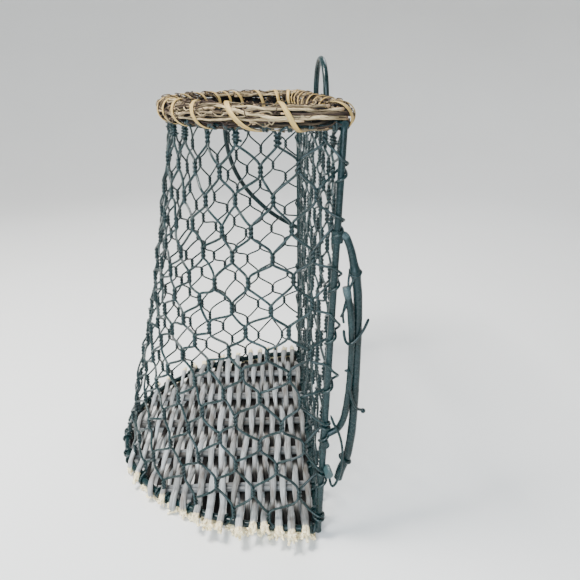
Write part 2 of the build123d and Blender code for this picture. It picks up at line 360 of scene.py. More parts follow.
class Skin:
    """One mesh made of many tubes, with what its material needs to know at each point:
    grain (a place round and along the tube), shade (the tube's own number), cut (bare wood or
    metal, and a painted highlight at the top of the handle's main stem) and painted_shade
    (painted shade by how deep it lies: under a crossing, or inside the bundle of twigs)."""

    def __init__(self, seed):
        self.rng = Random(seed)
        self.points = []
        self.quads = []
        self.caps = []
        self.grain = []
        self.values = {"shade": [], "cut": [], "painted_shade": []}
        self.count = 0

    def add(self, points, grain, *values):
        self.points.append(points)
        self.grain.append(grain)
        for known, value in zip(self.values.values(), values):
            known.append(np.broadcast_to(value, len(points)))
        self.count += len(points)

    def tube(self, path, radius, sides=8, shade=0.5, cut=0.0, height=1.0, facing=None, painted_shade=0.0):
        """A tube along path. radius is one number, one for each point, or one for each corner.
        height flattens it along facing, which is one direction or one for each point."""
        path = np.asarray(path, float)
        shape = (len(path), sides)
        tangents = unit(np.gradient(path, axis=0))
        if facing is not None and np.ndim(facing) == 2:
            up = unit(facing - tangents * np.sum(facing * tangents, 1, keepdims=True))
        else:
            start = np.array([0.13, 0.21, 1.0]) if facing is None else np.asarray(facing, float)
            if abs(np.dot(unit(start), tangents[0])) > 0.95:
                start = np.array([1.0, 0.3, 0.0])
            up = carried_normals(path, tangents, start)
        side = np.cross(tangents, up)
        angles = np.linspace(0, 2 * pi, sides, endpoint=False)
        sideways = spread(radius, shape) * np.cos(angles)
        upward = spread(radius, shape) * np.sin(angles) * spread(height, shape)
        rings = path[:, None] + sideways[..., None] * side[:, None] + upward[..., None] * up[:, None]
        shift = np.array([self.rng.uniform(0, 400) for _ in range(3)])
        grain = np.stack([sideways, upward, spread(lengths(path), shape)], -1) + shift
        cut = spread(cut, shape)
        painted_shade = spread(painted_shade, shape)
        first = self.count
        self.add(rings.reshape(-1, 3), grain.reshape(-1, 3), shade, cut.reshape(-1), painted_shade.reshape(-1))
        corners = np.arange(len(path) * sides).reshape(shape) + first
        following = np.roll(corners, -1, 1)
        quads = np.stack([corners[:-1], following[:-1], following[1:], corners[1:]], -1)
        self.quads.append(quads.reshape(-1, 4))
        for end, ring in ((0, corners[0][::-1]), (-1, corners[-1])):
            centre = self.count
            middle = rings[end].mean(0, keepdims=True)
            self.add(middle, grain[end].mean(0, keepdims=True), shade, cut[end][:1], painted_shade[end][:1])
            self.caps += [(a, b, centre) for a, b in zip(ring, np.roll(ring, -1))]

    def piece(self, name, material, slot, *nodes):
        """The finished object, riding on the basket and standing for the given CAD nodes."""
        quads = np.concatenate(self.quads)
        faces = quads.tolist() + [tuple(int(corner) for corner in cap) for cap in self.caps]
        mesh = bpy.data.meshes.new(name)
        mesh.from_pydata(to_row(np.concatenate(self.points)).tolist(), [], faces)
        smooth = np.arange(len(faces)) < len(quads)
        mesh.polygons.foreach_set("use_smooth", smooth)
        grain = mesh.attributes.new("grain", "FLOAT_VECTOR", "POINT")
        grain.data.foreach_set("vector", np.concatenate(self.grain).astype(np.float32).ravel())
        for label, values in self.values.items():
            attribute = mesh.attributes.new(label, "FLOAT", "POINT")
            attribute.data.foreach_set("value", np.concatenate(values).astype(np.float32))
        mesh.materials.append(material)
        mesh.update()
        piece = new_object(name, mesh)
        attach(piece, "root")
        if nodes:
            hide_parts(*nodes)


# ---- material building blocks
class Finish:
    """A material and the few node shapes that the finishes below are made of."""

    def __init__(self, name):
        self.material = bpy.data.materials.new(name)
        self.material.use_nodes = True
        self.nodes = self.material.node_tree.nodes
        self.links = self.material.node_tree.links
        self.inputs = self.nodes["Principled BSDF"].inputs

    def join(self, value, socket):
        """Links a socket, or sets a plain value."""
        if isinstance(value, bpy.types.NodeSocket):
            self.links.new(value, socket)
        else:
            socket.default_value = value

    def node(self, kind, **inputs):
        """A new node with its inputs linked or set."""
        node = self.nodes.new("ShaderNode" + kind)
        for name, value in inputs.items():
            self.join(value, node.inputs[name])
        return node

    def place(self):
        return self.node("TexCoord").outputs["Object"]

    def attribute(self, name, output="Fac"):
        node = self.node("Attribute")
        node.attribute_name = name
        return node.outputs[output]

    def stretched(self, vector, scale):
        return self.node("Mapping", Vector=vector, Scale=scale).outputs["Vector"]

    def noise(self, vector, scale, detail=3.0, roughness=0.55, distortion=0.0):
        node = self.node(
            "TexNoise", Vector=vector, Scale=scale, Detail=detail, Roughness=roughness,
            Distortion=distortion
        )
        return node.outputs["Fac"]

    def ramp(self, value, *stops):
        """Colour for each value; each stop is a place and a colour, or a place and a grey."""
        node = self.node("ValToRGB", Fac=value)
        while len(node.color_ramp.elements) < len(stops):
            node.color_ramp.elements.new(0.5)
        for element, (place, colour) in zip(node.color_ramp.elements, stops):
            element.position = place
            element.color = (*colour, 1) if isinstance(colour, tuple) else (colour, colour, colour, 1)
        return node.outputs["Color"]

    def mix(self, share, first, second, blend="MIX"):
        node = self.node("Mix", Factor=share)
        node.data_type = "RGBA"
        node.blend_type = blend
        # Its colour sockets share their names with others, so they go by number.
        self.join(first, node.inputs[6])
        self.join(second, node.inputs[7])
        return node.outputs[2]

    def maths(self, operation, first, second):
        node = self.node("Math")
        node.operation = operation
        self.join(first, node.inputs[0])
        self.join(second, node.inputs[1])
        return node.outputs[0]

    def bump(self, height, strength, distance):
        node = self.node("Bump", Height=height, Strength=strength, Distance=distance)
        return node.outputs["Normal"]

    def shade(self, colour, roughness, normal, specular=0.5):
        self.join(colour, self.inputs["Base Color"])
        self.join(roughness, self.inputs["Roughness"])
        self.join(normal, self.inputs["Normal"])
        self.join(specular, self.inputs["Specular IOR Level"])
        return self.material


# ---- finishes
def worn_paint(name, dark, light, dust, dust_from, roughness, gloss):
    """Dark green paint on wire: uneven coat, pale rubbed spots and a little dust."""
    finish = Finish(name)
    place = finish.place()
    coat = finish.noise(place, 60.0, 4.0)
    colour = finish.mix(finish.ramp(coat, (0.3, 0.0), (0.7, 1.0)), (*dark, 1), (*light, 1))
    spots = finish.noise(place, 420.0, 5.0, 0.65, 0.6)
    # cut marks bare metal at the side stem's tip, and a painted highlight at the top of the main stem.
    edge = finish.maths("ADD", finish.attribute("cut"), finish.maths("MULTIPLY", spots, 0.4))
    bare = finish.ramp(edge, (0.75, 0.0), (1.0, 0.4))
    dusty = finish.ramp(spots, (dust_from, 0.0), (dust_from + 0.1, 1.0))
    rubbed = finish.mix(bare, dusty, (0.8, 0.8, 0.8, 1))
    colour = finish.mix(rubbed, colour, (*dust, 1))
    grain = finish.noise(place, 1500.0, 2.0)
    height = finish.maths("ADD", grain, finish.maths("MULTIPLY", rubbed, -1.2))
    rough = finish.ramp(spots, (0.5, roughness), (dust_from + 0.1, roughness + 0.25))
    return finish.shade(colour, rough, finish.bump(height, 0.05, 0.00015), gloss)


def willow_finish():
    """Weathered willow with a whitewash: long grey streaks, brown where it is rubbed, cream at cuts."""
    finish = Finish("weathered_willow")
    grain = finish.attribute("grain", "Vector")
    long_grain = finish.stretched(grain, (1.3, 1.3, 0.07))
    streaks = finish.noise(long_grain, 1.6, 6.0, 0.6)
    patches = finish.noise(finish.stretched(grain, (0.2, 0.2, 0.05)), 1.0, 3.0)
    wash = finish.ramp(
        streaks, (0.28, (0.08, 0.07, 0.063)), (0.38, (0.27, 0.275, 0.275)), (0.58, (0.4, 0.42, 0.425)),
        (0.74, (0.82, 0.86, 0.88))
    )
    brown = finish.ramp(patches, (0.52, 0.0), (0.68, 0.62))
    colour = finish.mix(brown, wash, (0.135, 0.098, 0.07, 1))
    own = finish.ramp(
        finish.attribute("shade"), (0.0, (0.52, 0.49, 0.46)), (0.5, (0.88, 0.87, 0.86)),
        (1.0, (1.18, 1.19, 1.22))
    )
    colour = finish.mix(1.0, colour, own, "MULTIPLY")
    # Painted shade: the sticks are darkened, down to near black, on their sides, under crossings and on the
    # stakes beneath them.
    painted_shade_colour = finish.ramp(
        finish.attribute("painted_shade"), (0.12, 1.0), (0.32, (0.78, 0.76, 0.74)), (0.46, (0.3, 0.28, 0.26)),
        (0.72, (0.03, 0.025, 0.022))
    )
    colour = finish.mix(1.0, colour, painted_shade_colour, "MULTIPLY")
    wood = finish.ramp(
        finish.noise(finish.stretched(grain, (1.0, 1.0, 0.35)), 1.3, 4.0, 0.7),
        (0.28, (0.16, 0.09, 0.04)), (0.4, (0.62, 0.48, 0.25)), (0.55, (0.93, 0.82, 0.55)),
        (0.8, (0.98, 0.94, 0.76))
    )
    edge = finish.maths("ADD", finish.attribute("cut"), finish.maths("MULTIPLY", streaks, 0.5))
    bare = finish.ramp(edge, (0.7, 0.0), (0.82, 1.0))
    colour = finish.mix(bare, colour, wood)
    return finish.shade(colour, 0.8, finish.bump(streaks, 0.45, 0.0005), 0.25)


def twig_finish():
    """Vine bark: shreds of grey and brown along the twig, darker at the knots."""
    finish = Finish("vine_bark")
    grain = finish.attribute("grain", "Vector")
    shreds = finish.noise(finish.stretched(grain, (2.4, 2.4, 0.12)), 1.6, 6.0, 0.66)
    knots = finish.noise(finish.stretched(grain, (0.05, 0.05, 0.13)), 1.0, 2.0)
    dark = finish.ramp(
        shreds, (0.32, (0.012, 0.007, 0.005)), (0.52, (0.042, 0.026, 0.019)), (0.74, (0.12, 0.08, 0.062))
    )
    pale = finish.ramp(
        shreds, (0.34, (0.12, 0.072, 0.036)), (0.47, (0.42, 0.3, 0.155)), (0.66, (0.82, 0.68, 0.42))
    )
    colour = finish.mix(finish.attribute("shade"), dark, pale)
    # Painted shade: twigs that lie deeper inside the bundle are darkened, down to near black.
    depth = finish.ramp(finish.attribute("painted_shade"), (0.05, 1.0), (0.75, 0.06))
    colour = finish.mix(1.0, colour, depth, "MULTIPLY")
    colour = finish.mix(finish.ramp(knots, (0.6, 0.0), (0.72, 0.65)), colour, (0.035, 0.02, 0.014, 1))
    bare = finish.ramp(finish.attribute("cut"), (0.45, 0.0), (0.55, 1.0))
    colour = finish.mix(bare, colour, (0.45, 0.3, 0.17, 1))
    return finish.shade(colour, 0.85, finish.bump(shreds, 0.9, 0.0007), 0.2)


def cane_finish():
    """Split cane: straw yellow with fine fibres and a slight gloss."""
    finish = Finish("split_cane")
    grain = finish.attribute("grain", "Vector")
    fibres = finish.noise(finish.stretched(grain, (2.2, 2.2, 0.05)), 1.6, 4.0, 0.6)
    age = finish.noise(finish.stretched(grain, (0.1, 0.1, 0.06)), 1.0, 3.0)
    colour = finish.ramp(
        fibres, (0.3, (0.15, 0.08, 0.02)), (0.48, (0.37, 0.235, 0.062)), (0.7, (0.54, 0.375, 0.125))
    )
    colour = finish.mix(finish.ramp(age, (0.5, 0.0), (0.75, 0.55)), colour, (0.46, 0.31, 0.14, 1))
    return finish.shade(colour, 0.5, finish.bump(fibres, 0.5, 0.0004), 0.4)


def floor_finish():
    """Plain pale matt floor, very slightly uneven."""
    finish = Finish("pale_floor")
    mottle = finish.noise(finish.place(), 3.0, 4.0)
    colour = finish.ramp(mottle, (0.3, (0.77, 0.765, 0.75)), (0.7, (0.8, 0.795, 0.78)))
    fine = finish.noise(finish.place(), 300.0, 3.0)
    return finish.shade(colour, 0.75, finish.bump(fine, 0.08, 0.0003), 0.3)


FRAME_PAINT = worn_paint(
    "green_paint", dark=(0.002, 0.01, 0.01), light=(0.006, 0.021, 0.023),
    dust=(0.13, 0.18, 0.19), dust_from=0.71, roughness=0.25, gloss=0.28
)
NET_PAINT = worn_paint(
    "netting_paint", dark=(0.003, 0.011, 0.011), light=(0.01, 0.025, 0.026),
    dust=(0.17, 0.22, 0.23), dust_from=0.69, roughness=0.27, gloss=0.34
)
# Lighter, glossier paint for the handle's stub: partly pale rubbed paint, partly a painted highlight.
PALE_PAINT = worn_paint(
    "rubbed_paint_and_highlight", dark=(0.008, 0.028, 0.03), light=(0.03, 0.062, 0.065),
    dust=(0.33, 0.4, 0.41), dust_from=0.6, roughness=0.32, gloss=0.45
)
WILLOW = willow_finish()
BARK = twig_finish()
CANE = cane_finish()


# ---- netting
def row_height(row, t, sag):
    """Height of a row of twists; the rows hang lower toward the front in the upper half."""
    level = ROW_TOP - ROW_PITCH * row
    hang = max(0.0, sin(pi * (level - SAG_BOTTOM) / SAG_SPAN)) if level > SAG_BOTTOM else 0.0
    return MAT_Z + level - sag * hang * sin(pi * t)


def circled(centre, angle, reach, first, second):
    """Points round a centre: first is the direction at angle 0, second the one at 90 degrees."""
    return centre + (np.cos(angle) * reach)[:, None] * first + (np.sin(angle) * reach)[:, None] * second


def twist_points(centre, sideways, outward, turn, start_side):
    """One strand's way through a twist, top to bottom."""
    count = 13
    fall = np.linspace(0, 1, count)
    angle = pi / 2 * (1 - start_side) + turn * 2 * pi * TWIST_TURNS * fall
    around = np.cos(angle)[:, None] * sideways + np.sin(angle)[:, None] * outward
    points = centre + 1.06 * NET_WIRE * around
    points[:, 2] += TWIST_HALF * (1 - 2 * fall)
    return points


def rod_wrap(centre_line, inward, outward, top, loop):
    """Round a rod: the strand comes down outside it, goes behind and leaves inside.
    loop is the turns, the height that they take and how far they bulge behind the rod."""
    turns, fall, bulge = loop
    reach = FRAME_WIRE + NET_WIRE + 0.1
    share = np.linspace(0, 1, 28)
    angle = pi / 2 + 2 * pi * turns * share
    swell = reach + bulge * np.sin(pi * share) ** 2
    centres = np.array([centre_line(z) for z in top - fall * share])
    return circled(centres, angle, swell, inward, outward)


def ring_wrap(point, sideways, outward, slack):
    """Down outside a level wire, under it and back up inside."""
    reach = FRAME_WIRE + NET_WIRE + slack
    share = np.linspace(0, 1, 18)
    angle = 2 * pi * 1.15 * share + 0.3
    centres = point + sideways * (1.6 * share[:, None] - 0.8)
    return circled(centres, angle, reach, outward, -UP)


def upright_far_rod(z):
    return np.array([-HALF, 0, z])


def leaning_near_rod(z):
    return near_rod(z - MAT_Z)


class Netting:
    """Hexagonal netting on one wall: where its twists are, and the strands that run through them."""

    def __init__(self, wall, cells, rows, row_shift, sag, seed, loops):
        self.wall = wall
        self.cells = cells
        self.rows = rows
        self.row_shift = row_shift
        self.sag = sag
        self.loops = loops
        self.rng = Random(seed)
        self.skin = Skin(seed)
        self.twists = {}

    def at(self, t, z):
        point, outward = self.wall(np.array(t), np.array(z))
        return point, np.cross(UP, outward), outward

    def twist(self, row, column):
        """Centre of a twist, its sideways and outward directions, and which way it turns."""
        if (row, column) not in self.twists:
            inner = 0 < column < self.cells
            t = (column + self.rng.gauss(0, 0.06) * inner) / self.cells
            z = row_height(row + self.row_shift, t, self.sag) + self.rng.gauss(0, 0.9) * inner
            point, sideways, outward = self.at(t, z)
            point = point + outward * self.rng.gauss(0, 0.7) * inner
            self.twists[row, column] = (point, sideways, outward, self.rng.choice((-1, 1)))
        return self.twists[row, column]

    def turn_back(self, row, column):
        """A strand's way round the rod at the end of a row."""
        centre, _, outward, _ = self.twist(row, column)
        at_near = column <= 0
        rod = leaning_near_rod if at_near else upright_far_rod
        beside, _, _ = self.at(0.02 if at_near else 0.98, centre[2])
        inward = unit(beside - rod(centre[2]))
        loop = self.loops.get(row, PLAIN_LOOP)
        return rod_wrap(rod, inward, outward, centre[2] + loop[1] / 2, loop)

    def strand(self, column, heading):
        """One strand from the rim down to the base. It moves sideways by heading at each row."""
        head_t = np.clip((column - heading * 0.55) / self.cells, NET_EDGE, 1 - NET_EDGE)
        head, sideways, outward = self.at(head_t, RIM_WIRE_Z)
        path = [ring_wrap(head, sideways if heading > 0 else -sideways, outward, RIM_WRAP_SLACK)[::-1]]
        for row in range(self.rows):
            if 0 < column < self.cells:
                centre, sideways, outward, turn = self.twist(row, column)
                path.append(twist_points(centre, sideways, outward, turn, 1 if heading > 0 else -1))
            else:
                path.append(self.turn_back(row, column))
                heading = -heading
            column += heading
        foot_t = np.clip((column - heading * 0.7) / self.cells, NET_EDGE, 1 - NET_EDGE)
        foot, sideways, outward = self.at(foot_t, MAT_Z)
        path.append(ring_wrap(foot, -sideways if heading > 0 else sideways, outward, RING_WRAP_SLACK))
        self.skin.tube(strand_line(path, self.rng), NET_WIRE, 6, self.rng.random())

    def spare_end(self, column):
        """The spare end of a strand, wound round the top row's twist."""
        centre, sideways, outward, _ = self.twist(0, column)
        share = np.linspace(0, 1, 40)
        angle = 2 * pi * self.rng.uniform(2.0, 3.4) * share + self.rng.uniform(0, 6)
        reach = 2.1 * NET_WIRE + 1.2 * (share > 0.95)
        coil = circled(centre, angle, reach, sideways, outward)
        coil[:, 2] += 3.6 - share * self.rng.uniform(4.5, 7.5)
        self.skin.tube(coil, NET_WIRE * 0.9, 6, self.rng.random())


def make_netting(name, node, netting):
    """All the strands of one wall: two start in each cell of the top row, one to each side."""
    for column in range(netting.cells):
        for heading in (-0.5, 0.5):
            netting.strand(column + 0.5, heading)
        if column % 3:
            netting.spare_end(column + 0.5)
    netting.skin.piece(name, NET_PAINT, "netting_paint", node)


def strand_line(runs, rng):
    """Joins the twists of one strand with S-shaped runs that leave each twist along its axis."""
    line = [runs[0]]
    for before, after in zip(runs, runs[1:]):
        start, end = before[-1], after[0]
        start_way = unit(before[-1] - before[-2]) if len(before) > 1 else np.array([0, 0, -1.0])
        end_way = unit(after[1] - after[0])
        reach = np.linalg.norm(end - start) * RUN_BEND
        bow = np.array([rng.gauss(0, 0.45) for _ in range(3)])
        first = start + start_way * reach + bow
        second = end - end_way * reach + bow
        share = np.linspace(0, 1, 9)[1:-1, None]
        line.append((1 - share)**3 * start + 3 * (1 - share)**2 * share * first
                    + 3 * (1 - share) * share**2 * second + share**3 * end)
        line.append(after)
    return np.concatenate(line)


# ---- willow base
def half_width(y):
    """Half the width of the base ring at a given Y."""
    outline = BASE_OUTLINE[: WALL_STEPS // 2]
    return float(np.interp(-y, -outline[:, 1], outline[:, 0]))


def stake_x(number):
    """Where a stake lies; they are numbered from the far rod."""
    return -HALF + WIDTH * number / (STAKE_COUNT + 1)


def weaver_crossings(row):
    """Where a weaver passes the ring and the stakes, with +1 for over and -1 for under."""
    y = -WEAVER_PITCH * (row + 1)
    edge = half_width(y)
    crossings = []
    for number in range(1, STAKE_COUNT + 1):
        x = stake_x(number)
        if abs(x) < edge:
            crossings.append((x, 1 if (number + row) % 2 else -1))
    for end, x in ((0, -edge), (len(crossings) + 1, edge)):
        neighbour_x, neighbour_side = crossings[0] if end == 0 else crossings[-1]
        changes = abs(x - neighbour_x) > CROSSING_ROOM
        crossings.insert(end, (x, -neighbour_side if changes else neighbour_side))
    return y, crossings


def weaver_end(rng, side, near):
    """How far a weaver's end stands out past the ring. The near ends that lie over it are longest."""
    if near:
        return rng.uniform(7.0, 15.0) if side > 0 else rng.uniform(0.5, 3.5)
    return rng.uniform(3.0, 5.5) if side > 0 else rng.uniform(1.0, 3.0)


def hooked(path, ring_x):
    """The near end of a weaver bent down round the ring."""
    past = path[:, 0] - ring_x
    angle = np.clip(past / HOOK_RADIUS, 0, 2.5)
    bent = path.copy()
    beyond = past > 0
    bent[beyond, 0] = ring_x + HOOK_RADIUS * np.sin(angle[beyond])
    bent[beyond, 2] = path[beyond, 2] - HOOK_RADIUS * (1 - np.cos(angle[beyond]))
    return bent


def lay_flat(path, room):
    """Base coordinates to design coordinates, with room between the stick's middle and the floor."""
    raised = path + (0, 0, MAT_Z)
    raised[:, 2] = np.maximum(raised[:, 2], room)
    return turned(raised, 1.0)


def fray(skin, rng, tip, before, radius):
    """A torn end: slivers of pale wood that spread from the end of a stick."""
    way = unit(tip - before)
    across = unit(np.cross(way, (0, 0, 1.0)))
    up = np.cross(across, way)
    for number in range(rng.randint(5, 7)):
        angle = number * 1.05 + rng.uniform(0, 0.8)
        spread = (cos(angle) * across + sin(angle) * up) * radius
        reach = rng.uniform(0.2, 3.2)
        line = smooth_line([
            tip - way * 3.5 + spread * 0.55,
            tip - way * 0.6 + spread * 0.7,
            tip + way * reach + spread * rng.uniform(0.6, 1.5),
        ], 8)
        size = rng.uniform(0.9, 1.5)
        line[:, 2] = np.maximum(line[:, 2], size)
        radius_along = size * np.linspace(1.0, rng.uniform(0.5, 0.9), 8)
        skin.tube(line, radius_along, 7, rng.random(), 1.0, 0.7, facing=up)


def make_weaver(row):
    """One stick woven over and under the stakes, wide and flat on each crossing, torn at its ends."""
    rng = Random(900 + row)
    skin = Skin(row)
    y, crossings = weaver_crossings(row)
    places = np.array([x for x, _ in crossings])
    levels = np.array([float(side) for _, side in crossings])
    left = places[0] - weaver_end(rng, levels[0], False)
    right = places[-1] + weaver_end(rng, levels[-1], True)
    x = np.arange(left, right, WEAVER_STEP)
    ease = np.interp(x, places, np.arange(len(places)))
    step = np.floor(np.clip(ease, 0, len(places) - 1.001)).astype(int)
    share = (1 - np.cos(pi * (ease - step))) / 2
    level = levels[step] * (1 - share) + levels[step + 1] * share
    along = x - left
    fan = FAN_SLOPE * max(0, row - FAN_ROW) * np.clip(x / HALF, 0, 1) ** 2
    path = np.stack([x, y + fan + ripple(rng, along, 70, 0.75), level * WEAVE_RISE], 1)
    hooks = row >= HOOK_ROW and levels[-1] > 0
    if hooks:
        path = hooked(path, places[-1] + 1.0)
    sides = 14
    slim = 1 - FAN_THINNING * max(0, row - FAN_ROW)
    body = (WEAVER_SLIM + WEAVER_SWELL * np.abs(level) + ripple(rng, along, 26, 0.1)) * slim
    body *= rng.uniform(0.86, 1.08) + rng.uniform(-0.1, 0.1) * (along / along[-1] - 0.5)
    corners = uneven(rng, sides, 0.05)
    height = np.minimum(1.0, WEAVER_THICK / body)
    from_end = np.minimum(along, along[-1] - along)
    cut = np.clip(1 - from_end / rng.uniform(6, 11), 0, 1)
    path = lay_flat(path, body + HOOK_ROOM if hooks else LOWEST_STICK)
    # Painted shade: each weaver is darkened on its sides, on its underside where it floats over a stake,
    # and on its top where it passes under one.
    upward = np.sin(np.linspace(0, 2 * pi, sides, endpoint=False))[None]
    painted_shade = np.clip(SIDE_SHADE - level[:, None] * upward, 0, 1)
    skin.tube(path, body[:, None] * corners, sides, rng.random(), cut, height, UP, painted_shade)
    fray(skin, rng, path[0], path[2], body[0] * 0.7)
    fray(skin, rng, path[-1], path[-3], body[-1] * (1.1 if levels[-1] > 0 else 0.6))
    skin.piece(f"willow_weaver_{row + 1:02d}", WILLOW, "willow", f"weaver_{row + 1:02d}")


def make_stake(number):
    """A pair of sticks side by side, from the back wire to the front of the ring."""
    rng = Random(300 + number)
    skin = Skin(50 + number)
    x = stake_x(number)
    front = float(np.interp(x, BASE_OUTLINE[::-1, 0], BASE_OUTLINE[::-1, 1]))
    rings = 90
    for beside in (-STAKE_OFFSET, STAKE_OFFSET):
        y = np.linspace(-STAKE_OVERRUN, front + STAKE_OVERRUN, rings)
        path = np.stack([x + beside + ripple(rng, -y, 80, 0.25), y, np.full(rings, MAT_Z)], 1)
        radius = STAKE_STICK + ripple(rng, -y, 30, 0.08)
        # Painted shade: the stakes lie under the weavers and are painted darker.
        skin.tube(turned(path, 1.0), radius, 12, rng.random(), painted_shade=STAKE_SHADE)
    skin.piece(f"willow_stake_{number}", WILLOW, "willow", f"base_stake_{number}")


# ---- twig rim
def rim_outline():
    """The closed middle line of the twig bundle, from the near back corner round the front."""
    bow = np.concatenate([[(HALF, -RIM_CORNER)], bow_outline(RIM_BOW)[1:-1]])
    inner = HALF - RIM_CORNER
    bend = np.linspace(pi, pi / 2, 14)
    far_corner = np.stack([RIM_CORNER * np.cos(bend) - inner, RIM_CORNER * np.sin(bend) - RIM_CORNER], 1)
    near_corner = far_corner[::-1] * (-1, 1)
    return np.concatenate([bow, far_corner, near_corner, bow[:1]])


RIM_LINE = resample(rim_outline(), RIM_STEPS + 1)
RIM_LENGTH = lengths(RIM_LINE)[-1]


def round_rim(s, angle, reach):
    """Points round the bundle: s along it from its back, angle 0 at the top and 90 degrees outside."""
    places = np.linspace(0, RIM_LENGTH, RIM_STEPS + 1)
    s = np.mod(s - RIM_CORNER, RIM_LENGTH)
    flat = between(s, places, RIM_LINE)
    way = unit(between(s, places, np.gradient(RIM_LINE, axis=0)))
    radial = np.sin(angle)[:, None] * across_wall(way) + np.cos(angle)[:, None] * UP
    middle = np.concatenate([flat, np.full((len(s), 1), RIM_Z)], 1)
    return middle + radial * np.asarray(reach).reshape(-1, 1), radial


def lay_twig(skin, rng, start, length, angle, reach, radius, shade, drift=1.2, sides=6):
    """One twig laid along the bundle, with knots, a thinner tip and a cut end."""
    count = max(24, int(length / TWIG_STEP))
    along = np.linspace(0, length, count)
    turn = angle + drift * along / 100
    turn = turn + ripple(rng, along, 60, 0.16) + ripple(rng, along, 19, 0.045 / radius)
    depth = np.clip(reach + ripple(rng, along, 30, 0.9), 0.4, BUNDLE_RADIUS + 0.5)
    points, _ = round_rim(start + along, turn, depth)
    knots = np.zeros(count)
    place = rng.uniform(5, 20)
    while place < length:
        knots += 0.32 * np.exp(-((along - place) / 1.4) ** 2)
        place += rng.uniform(16, 34)
    body = radius * (1 - 0.35 * along / length) * (1 + knots + ripple(rng, along, 18, 0.06))
    corners = uneven(rng, sides, 0.12)
    ends = np.clip(1.4 - np.minimum(along, length - along) / 2.0, 0, 1)
    # Painted shade: the deeper a twig lies inside the bundle, the darker it is painted.
    painted_shade = np.clip((BUNDLE_RADIUS - 0.2 - depth) / 2.0, 0, 1)[:, None]
    skin.tube(points, body[:, None] * corners, sides, shade, ends, painted_shade=painted_shade)


def make_twig_rim():
    """Vine twigs laid round the rim: dark inside, with painted shade deep in the bundle, thin grey and
    brown ones outside, tan strips.
    """
    rng = Random(41)
    skin = Skin(41)
    for _ in range(INNER_TWIGS):
        lay_twig(skin, rng, rng.uniform(0, RIM_LENGTH), rng.uniform(260, 420), rng.uniform(0, 2 * pi),
                 rng.uniform(0.5, 3.0), rng.uniform(1.1, 1.6), 0.0)
    for number in range(OUTER_TWIGS):
        lay_twig(skin, rng, rng.uniform(0, RIM_LENGTH), rng.uniform(40, 150), 2 * pi * number / OUTER_TWIGS,
                 rng.uniform(4.2, BUNDLE_RADIUS + 0.4), rng.uniform(0.3, 0.78),
                 rng.choice((0.0, 0.0, 0.05, 0.12, 0.32, 0.8)), rng.uniform(-3.4, 3.4))
    for start, length, angle, radius, shade, drift in TAN_STRIPS:
        lay_twig(skin, rng, start, length, angle, BUNDLE_RADIUS - 0.1, radius, shade, drift, 10)
    for _ in range(CURLY_BITS):
        curly_bit(skin, rng)
    skin.piece("twig_bundle", BARK, "twigs", "twig_rim")


def curly_bit(skin, rng):
    """A thin tendril that strays from the bundle, mostly under it or on top."""
    start = rng.uniform(0, RIM_LENGTH)
    on_top = rng.random() < CURLS_ON_TOP
    angle = rng.gauss(0.1, 0.7) if on_top else rng.gauss(2.1, 0.9) * rng.choice((1, 1, -1))
    length = rng.uniform(9, 24)
    rings = 18
    along = np.linspace(0, length, rings)
    curl = rng.uniform(0, 2 * pi) + rng.choice((-1, 1)) * 2 * pi * rng.uniform(0.3, 1.3) * along / length
    size = rng.uniform(0.8, 2.6)
    turn = angle + size * np.sin(curl) / BUNDLE_RADIUS + ripple(rng, along, 16, 0.2)
    stray = 2.6 if on_top else 1.7
    reach = BUNDLE_RADIUS - 0.4 + stray * np.sin(pi * along / length) * rng.uniform(0.2, 1.0)
    way = rng.choice((-1, 1))
    points, _ = round_rim(start + way * along * 0.55 + size * np.cos(curl), turn, reach)
    skin.tube(points, np.linspace(0.44, 0.18, rings), 5, rng.choice((0.0, 0.05, 0.2, 0.5)))


def make_cane():
    """One strip of flat cane wound round the bundle, up outside it and down inside it."""
    rng = Random(7)
    skin = Skin(7)
    places = np.array(CANE_TURNS, float).ravel()
    halves = np.linspace(0, len(places) - 1, 16 * (len(places) - 1))
    s = np.interp(halves, np.arange(len(places)), places)
    along = halves * CANE_HALF_TURN
    angle = pi - pi * halves + ripple(rng, along, 90, 0.08)
    points, radial = round_rim(s, angle, CANE_RADIUS + ripple(rng, along, 60, 0.12))
    corners = 12
    angles = np.linspace(0, 2 * pi, corners, endpoint=False)
    oblong = 1 / np.maximum(np.abs(np.cos(angles)), np.abs(np.sin(angles))) ** 0.6
    width = CANE_WIDTH / 2 * (1 + ripple(rng, along, 70, 0.05))
    radius = width[:, None] * oblong[None] * 0.93
    skin.tube(points, radius, corners, height=CANE_THICKNESS / CANE_WIDTH, facing=radial)
    skin.piece("cane_strip", CANE, "cane", "cane_lashing")


# ---- handle
def beside_near_rod(out, height, forward=0.0):
    """A point beside the near rod: out to the back, up from the base, forward to the side."""
    return near_rod(height) + (forward, out, 0.0)


def handle_line(points, count):
    return smooth_line([beside_near_rod(*point) for point in points], count)


def bumps(along, *places):
    """Swellings along a stem; each place is a distance, a width and a strength."""
    total = np.ones(len(along))
    for place, width, strength in places:
        total += strength * np.exp(-((along - place) / width) ** 2)
    return total


